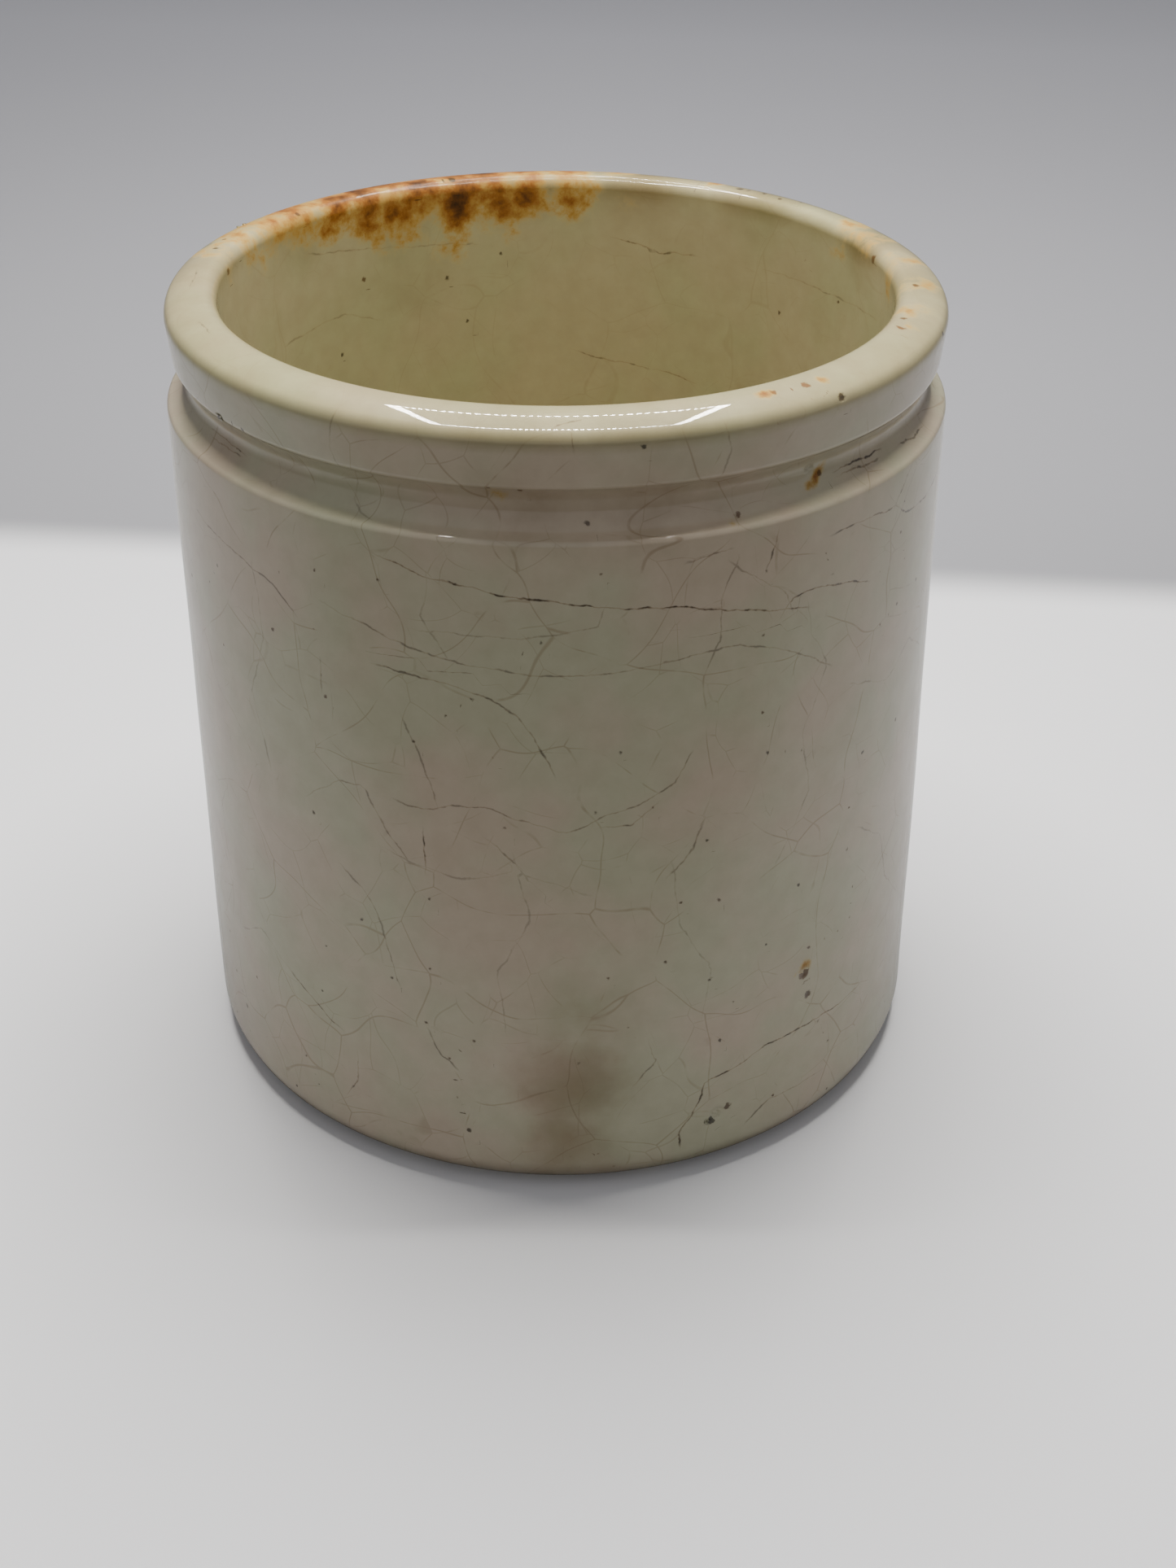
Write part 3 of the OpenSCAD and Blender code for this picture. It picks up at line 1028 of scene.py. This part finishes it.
# Painted shade of the backdrop: the grey is darkest where it begins and lighter further back.
far = add(tree, "ShaderNodeMapRange", inputs={"Value": slant.outputs[0], "From Min": 0.14, "From Max": 0.60})
backdrop_painted_shade = add(
    tree,
    "ShaderNodeMix",
    {"data_type": "RGBA"},
    {0: far.outputs[0], 6: linear("#919298"), 7: linear("#cccdd6")},
)
tone = add(
    tree,
    "ShaderNodeMix",
    {"data_type": "RGBA"},
    {0: back.outputs[0], 6: linear("#e8e9ee"), 7: backdrop_painted_shade.outputs[2]},
)
card_shader = add(tree, "ShaderNodeBsdfPrincipled", inputs={"Base Color": tone.outputs[2], "Roughness": 0.9})
add(tree, "ShaderNodeOutputMaterial", inputs={"Surface": card_shader.outputs[0]})
table.data.materials.append(card)

# ---------------------------------------------------------------- light
# A small light tent: a soft panel overhead with a loop of small lamps round its edge, pale sides,
# and an open, darker front, where the table ends.

TENT_TOP = 0.40
panel_data = bpy.data.lights.new("overhead_panel", "AREA")
panel_data.shape = "RECTANGLE"
panel_data.size, panel_data.size_y = 0.18, 0.18
panel_data.energy = 1.1
panel = bpy.data.objects.new("overhead_panel", panel_data)
panel.location = (0, 0.065, TENT_TOP)
panel.visible_camera = False
panel.visible_glossy = False
bpy.context.scene.collection.objects.link(panel)

LAMP_LONG, LAMP_SHORT = 9 * MM, 2.6 * MM
LAMP_PITCH = 5 * MM
LAMP_ROWS = (
    (-0.10, -0.02, 1, 0, 40), (-0.10, 0.18, 1, 0, 40), (-0.10, -0.02, 0, 1, 40), (0.10, -0.02, 0, 1, 40),
)
bpy.ops.object.select_all(action="DESELECT")
lamp_rows = []
for x, y, along_x, along_y, count in LAMP_ROWS:
    bpy.ops.mesh.primitive_plane_add(size=1, location=(x, y, TENT_TOP))
    lamp_row = bpy.context.object
    lamp_row.scale = (LAMP_SHORT, LAMP_LONG, 1) if along_x else (LAMP_LONG, LAMP_SHORT, 1)
    bpy.ops.object.transform_apply(location=True, rotation=True, scale=True)
    copies = lamp_row.modifiers.new("copies", "ARRAY")
    copies.count = count + 1
    copies.use_relative_offset = False
    copies.use_constant_offset = True
    copies.constant_offset_displace = (along_x * LAMP_PITCH, along_y * LAMP_PITCH, 0)
    bpy.ops.object.modifier_apply(modifier=copies.name)
    lamp_rows.append(lamp_row)
for lamp_row in lamp_rows:
    lamp_row.select_set(True)
bpy.ops.object.join()
lamps = bpy.context.object
lamps.name = "lamp_loop"
glow = bpy.data.materials.new("small_white_lamps")
glow.use_nodes = True
tree = glow.node_tree
tree.nodes.clear()
lamp_shader = add(tree, "ShaderNodeEmission", inputs={"Color": linear("#fffaf0"), "Strength": 230.0})
add(tree, "ShaderNodeOutputMaterial", inputs={"Surface": lamp_shader.outputs[0]})
lamps.data.materials.append(glow)
lamps.visible_camera = False

# A dark sheet just above the table, unseen by the camera: painted shade that stands for the dark room in front
# and for shade on the table round the pot. It keeps light off the front of the pot, and throws no shadow.
bpy.ops.object.select_all(action="DESELECT")
bpy.ops.mesh.primitive_plane_add(size=4, location=(0, 0, 0.5 * MM))
front = bpy.context.object
front.name = "dark_front"
bpy.ops.object.transform_apply(location=True, rotation=True, scale=True)
shade = bpy.data.materials.new("painted_shade_sheet")
shade.use_nodes = True
tree = shade.node_tree
tree.nodes.clear()
place = add(tree, "ShaderNodeTexCoord").outputs["Object"]
spot = add(tree, "ShaderNodeSeparateXYZ", inputs={"Vector": place})
edge = add(
    tree,
    "ShaderNodeMapRange",
    {"interpolation_type": "SMOOTHSTEP"},
    {"Value": spot.outputs["Y"], "From Min": -0.115, "From Max": -0.065},
)
fade = add(
    tree,
    "ShaderNodeMix",
    {"data_type": "RGBA"},
    {0: edge.outputs[0], 6: linear("#7a7874"), 7: linear("#a4a4a6")},
)
shade_shader = add(tree, "ShaderNodeBsdfDiffuse", inputs={"Color": fade.outputs[2]})
below = add(tree, "ShaderNodeNewGeometry").outputs["Backfacing"]
open_below = add(tree, "ShaderNodeBsdfTransparent")
one_sided = add(
    tree, "ShaderNodeMixShader", inputs={0: below, 1: shade_shader.outputs[0], 2: open_below.outputs[0]}
)
add(tree, "ShaderNodeOutputMaterial", inputs={"Surface": one_sided.outputs[0]})
front.data.materials.append(shade)
front.visible_camera = False
front.visible_shadow = False

world = bpy.data.worlds.new("light_tent")
bpy.context.scene.world = world
world.use_nodes = True
tree = world.node_tree
tree.nodes.clear()
direction = add(tree, "ShaderNodeTexCoord").outputs["Generated"]
aim = add(tree, "ShaderNodeSeparateXYZ", inputs={"Vector": direction})
depth = add(
    tree,
    "ShaderNodeMapRange",
    {"interpolation_type": "SMOOTHSTEP"},
    {"Value": aim.outputs["Y"], "From Min": -0.35, "From Max": 0.45, "To Min": 0.45, "To Max": 0.2},
)
tent = add(tree, "ShaderNodeBackground", inputs={"Color": linear("#f2f2f4"), "Strength": depth.outputs[0]})
add(tree, "ShaderNodeOutputWorld", inputs={"Surface": tent.outputs[0]})
